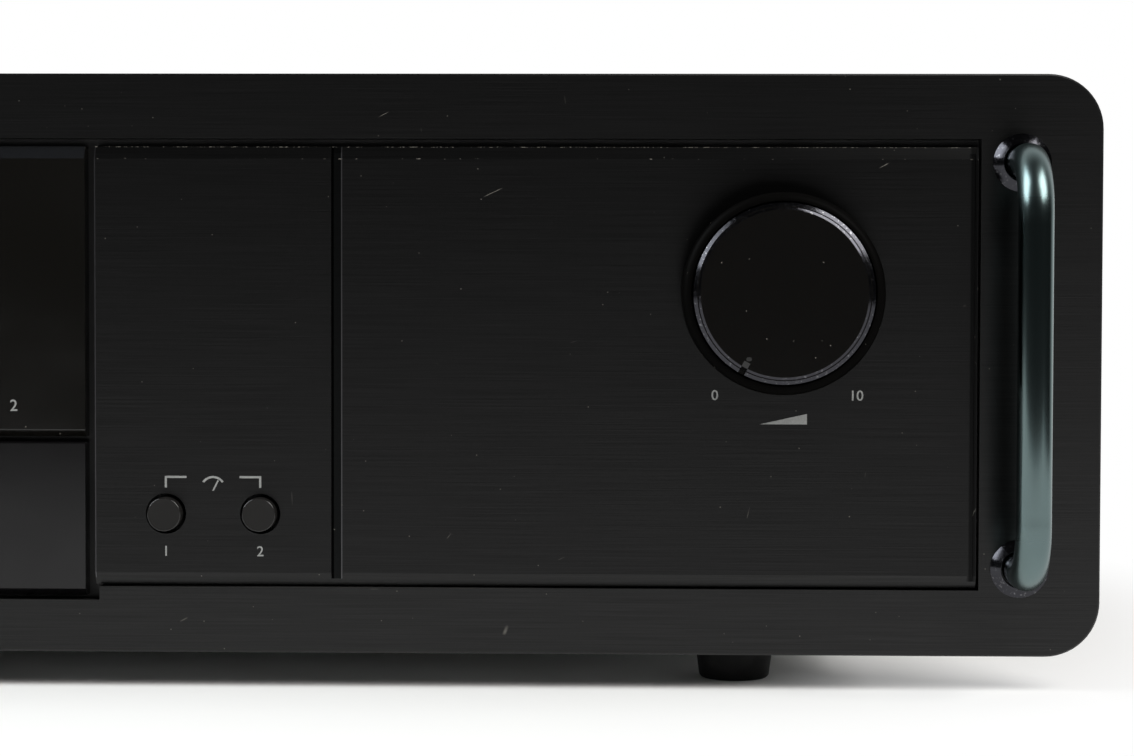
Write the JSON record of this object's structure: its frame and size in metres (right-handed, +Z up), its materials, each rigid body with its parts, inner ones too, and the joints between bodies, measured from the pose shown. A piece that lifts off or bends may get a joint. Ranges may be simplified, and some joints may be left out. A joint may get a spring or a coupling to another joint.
{
  "type": "power amplifier",
  "caption": "Black audio power amplifier with a nineteen inch rack front, bow handles, level knob, push buttons, dark display window and rear speaker terminals.",
  "frame": {"origin": "centre of the bounding box at the height of the feet's undersides", "axes": "+X to the right seen from the front, +Y to the rear, +Z up"},
  "size_m": [0.4826, 0.3556, 0.1407],
  "materials": {
    "black_anodised_aluminium": "fine horizontal brushing under black anodising",
    "smoked_acrylic": "glossy, nearly opaque brown black",
    "satin_black_plastic": "satin gloss brown black",
    "zinc_plated_steel": "satin zinc plate",
    "polished_black_steel": "polished black nickel",
    "black_knob": "satin black anodised with a polished bevel",
    "black_button": "fine matte",
    "bright_steel": "turned steel",
    "black_painted_steel": "fine wrinkle paint",
    "black_rubber": "matte",
    "switch_plastic": "matte moulded",
    "light_bar_plastic": "matte white",
    "circuit_board": "green solder mask",
    "transformer_steel": "varnished laminations",
    "winding_tape": "yellow tape over copper",
    "black_heatsink": "matte black anodised",
    "capacitor_sleeve": "shrunk blue sleeve",
    "red_plastic": "glossy red",
    "gold_plated_brass": "bright plate"
  },
  "bodies": {
    "housing": {"amplifier_board_left": "circuit_board", "amplifier_board_right": "circuit_board", "bridge_rectifier": "switch_plastic", "chassis_tray": "zinc_plated_steel", "control_panel": "black_anodised_aluminium", "dimmer_switch": "switch_plastic", "display_window": "smoked_acrylic", "foot_front_left": "black_rubber", "foot_front_right": "black_rubber", "foot_rear_left": "black_rubber", "foot_rear_right": "black_rubber", "front_panel": "black_anodised_aluminium", "fuse_holder": "switch_plastic", "handle_ferrule_left_bottom": "polished_black_steel", "handle_ferrule_left_top": "polished_black_steel", "handle_ferrule_right_bottom": "polished_black_steel", "handle_ferrule_right_top": "polished_black_steel", "handle_left": "polished_black_steel", "handle_right": "polished_black_steel", "handle_screw_left_bottom": "bright_steel", "handle_screw_left_top": "bright_steel", "handle_screw_right_bottom": "bright_steel", "handle_screw_right_top": "bright_steel", "heatsink_left": "black_heatsink", "heatsink_right": "black_heatsink", "input_jacks": "gold_plated_brass", "level_potentiometer": "zinc_plated_steel", "lower_fascia": "satin_black_plastic", "meter_board": "circuit_board", "meter_light_bar_left": "light_bar_plastic", "meter_light_bar_right": "light_bar_plastic", "output_transistor_left_front": "switch_plastic", "output_transistor_left_rear": "switch_plastic", "output_transistor_right_front": "switch_plastic", "output_transistor_right_rear": "switch_plastic", "potentiometer_nut": "bright_steel", "power_inlet": "switch_plastic", "power_switch": "switch_plastic", "range_switch": "switch_plastic", "rear_panel": "black_painted_steel", "reservoir_capacitor_left": "capacitor_sleeve", "reservoir_capacitor_right": "capacitor_sleeve", "speaker_terminal_left": "switch_plastic", "speaker_terminal_right": "switch_plastic", "sub_panel": "zinc_plated_steel", "top_cover": "black_painted_steel", "transformer_coil": "winding_tape", "transformer_core": "transformer_steel"},
    "level_control": {"level_knob": "black_knob", "level_knob_cap": "black_knob", "level_shaft": "bright_steel"},
    "range_button": {"range_button": "black_button"},
    "dimmer_button": {"dimmer_button": "black_button"},
    "power_button": {"power_button": "black_button"},
    "speaker_cap_left_negative": {"speaker_cap_left_negative": "black_button"},
    "speaker_cap_left_positive": {"speaker_cap_left_positive": "red_plastic"},
    "speaker_cap_right_negative": {"speaker_cap_right_negative": "black_button"},
    "speaker_cap_right_positive": {"speaker_cap_right_positive": "red_plastic"},
    "fuse_cap": {"fuse_cap": "switch_plastic"}
  },
  "joints": [
    {"name": "level_turn", "type": "hinge", "parent": "housing", "child": "level_control", "pos_m": [0.1683, -0.16223, 0.0908], "axis": [0, 1, 0], "range_deg": [0, 300]},
    {"name": "range_press", "type": "slide", "parent": "housing", "child": "range_button", "axis": [0, 1, 0], "range_m": [0, 0.0025], "stiffness_N_per_m": 400},
    {"name": "dimmer_press", "type": "slide", "parent": "housing", "child": "dimmer_button", "axis": [0, 1, 0], "range_m": [0, 0.0025], "stiffness_N_per_m": 400},
    {"name": "power_press", "type": "slide", "parent": "housing", "child": "power_button", "axis": [0, 1, 0], "range_m": [0, 0.0035], "stiffness_N_per_m": 600},
    {"name": "left_negative_unscrew", "type": "hinge", "parent": "housing", "child": "speaker_cap_left_negative", "pos_m": [-0.1275, 0.16978, 0.0541], "axis": [0, 1, 0], "range_deg": [0, 1080]},
    {"name": "left_positive_unscrew", "type": "hinge", "parent": "housing", "child": "speaker_cap_left_positive", "pos_m": [-0.1085, 0.16978, 0.0541], "axis": [0, 1, 0], "range_deg": [0, 1080]},
    {"name": "right_negative_unscrew", "type": "hinge", "parent": "housing", "child": "speaker_cap_right_negative", "pos_m": [-0.0675, 0.16978, 0.0541], "axis": [0, 1, 0], "range_deg": [0, 1080]},
    {"name": "right_positive_unscrew", "type": "hinge", "parent": "housing", "child": "speaker_cap_right_positive", "pos_m": [-0.0485, 0.16978, 0.0541], "axis": [0, 1, 0], "range_deg": [0, 1080]},
    {"name": "fuse_cap_turn", "type": "hinge", "parent": "housing", "child": "fuse_cap", "pos_m": [0.14, 0.16178, 0.0941], "axis": [0, 1, 0], "range_deg": [0, 90]}
  ]
}
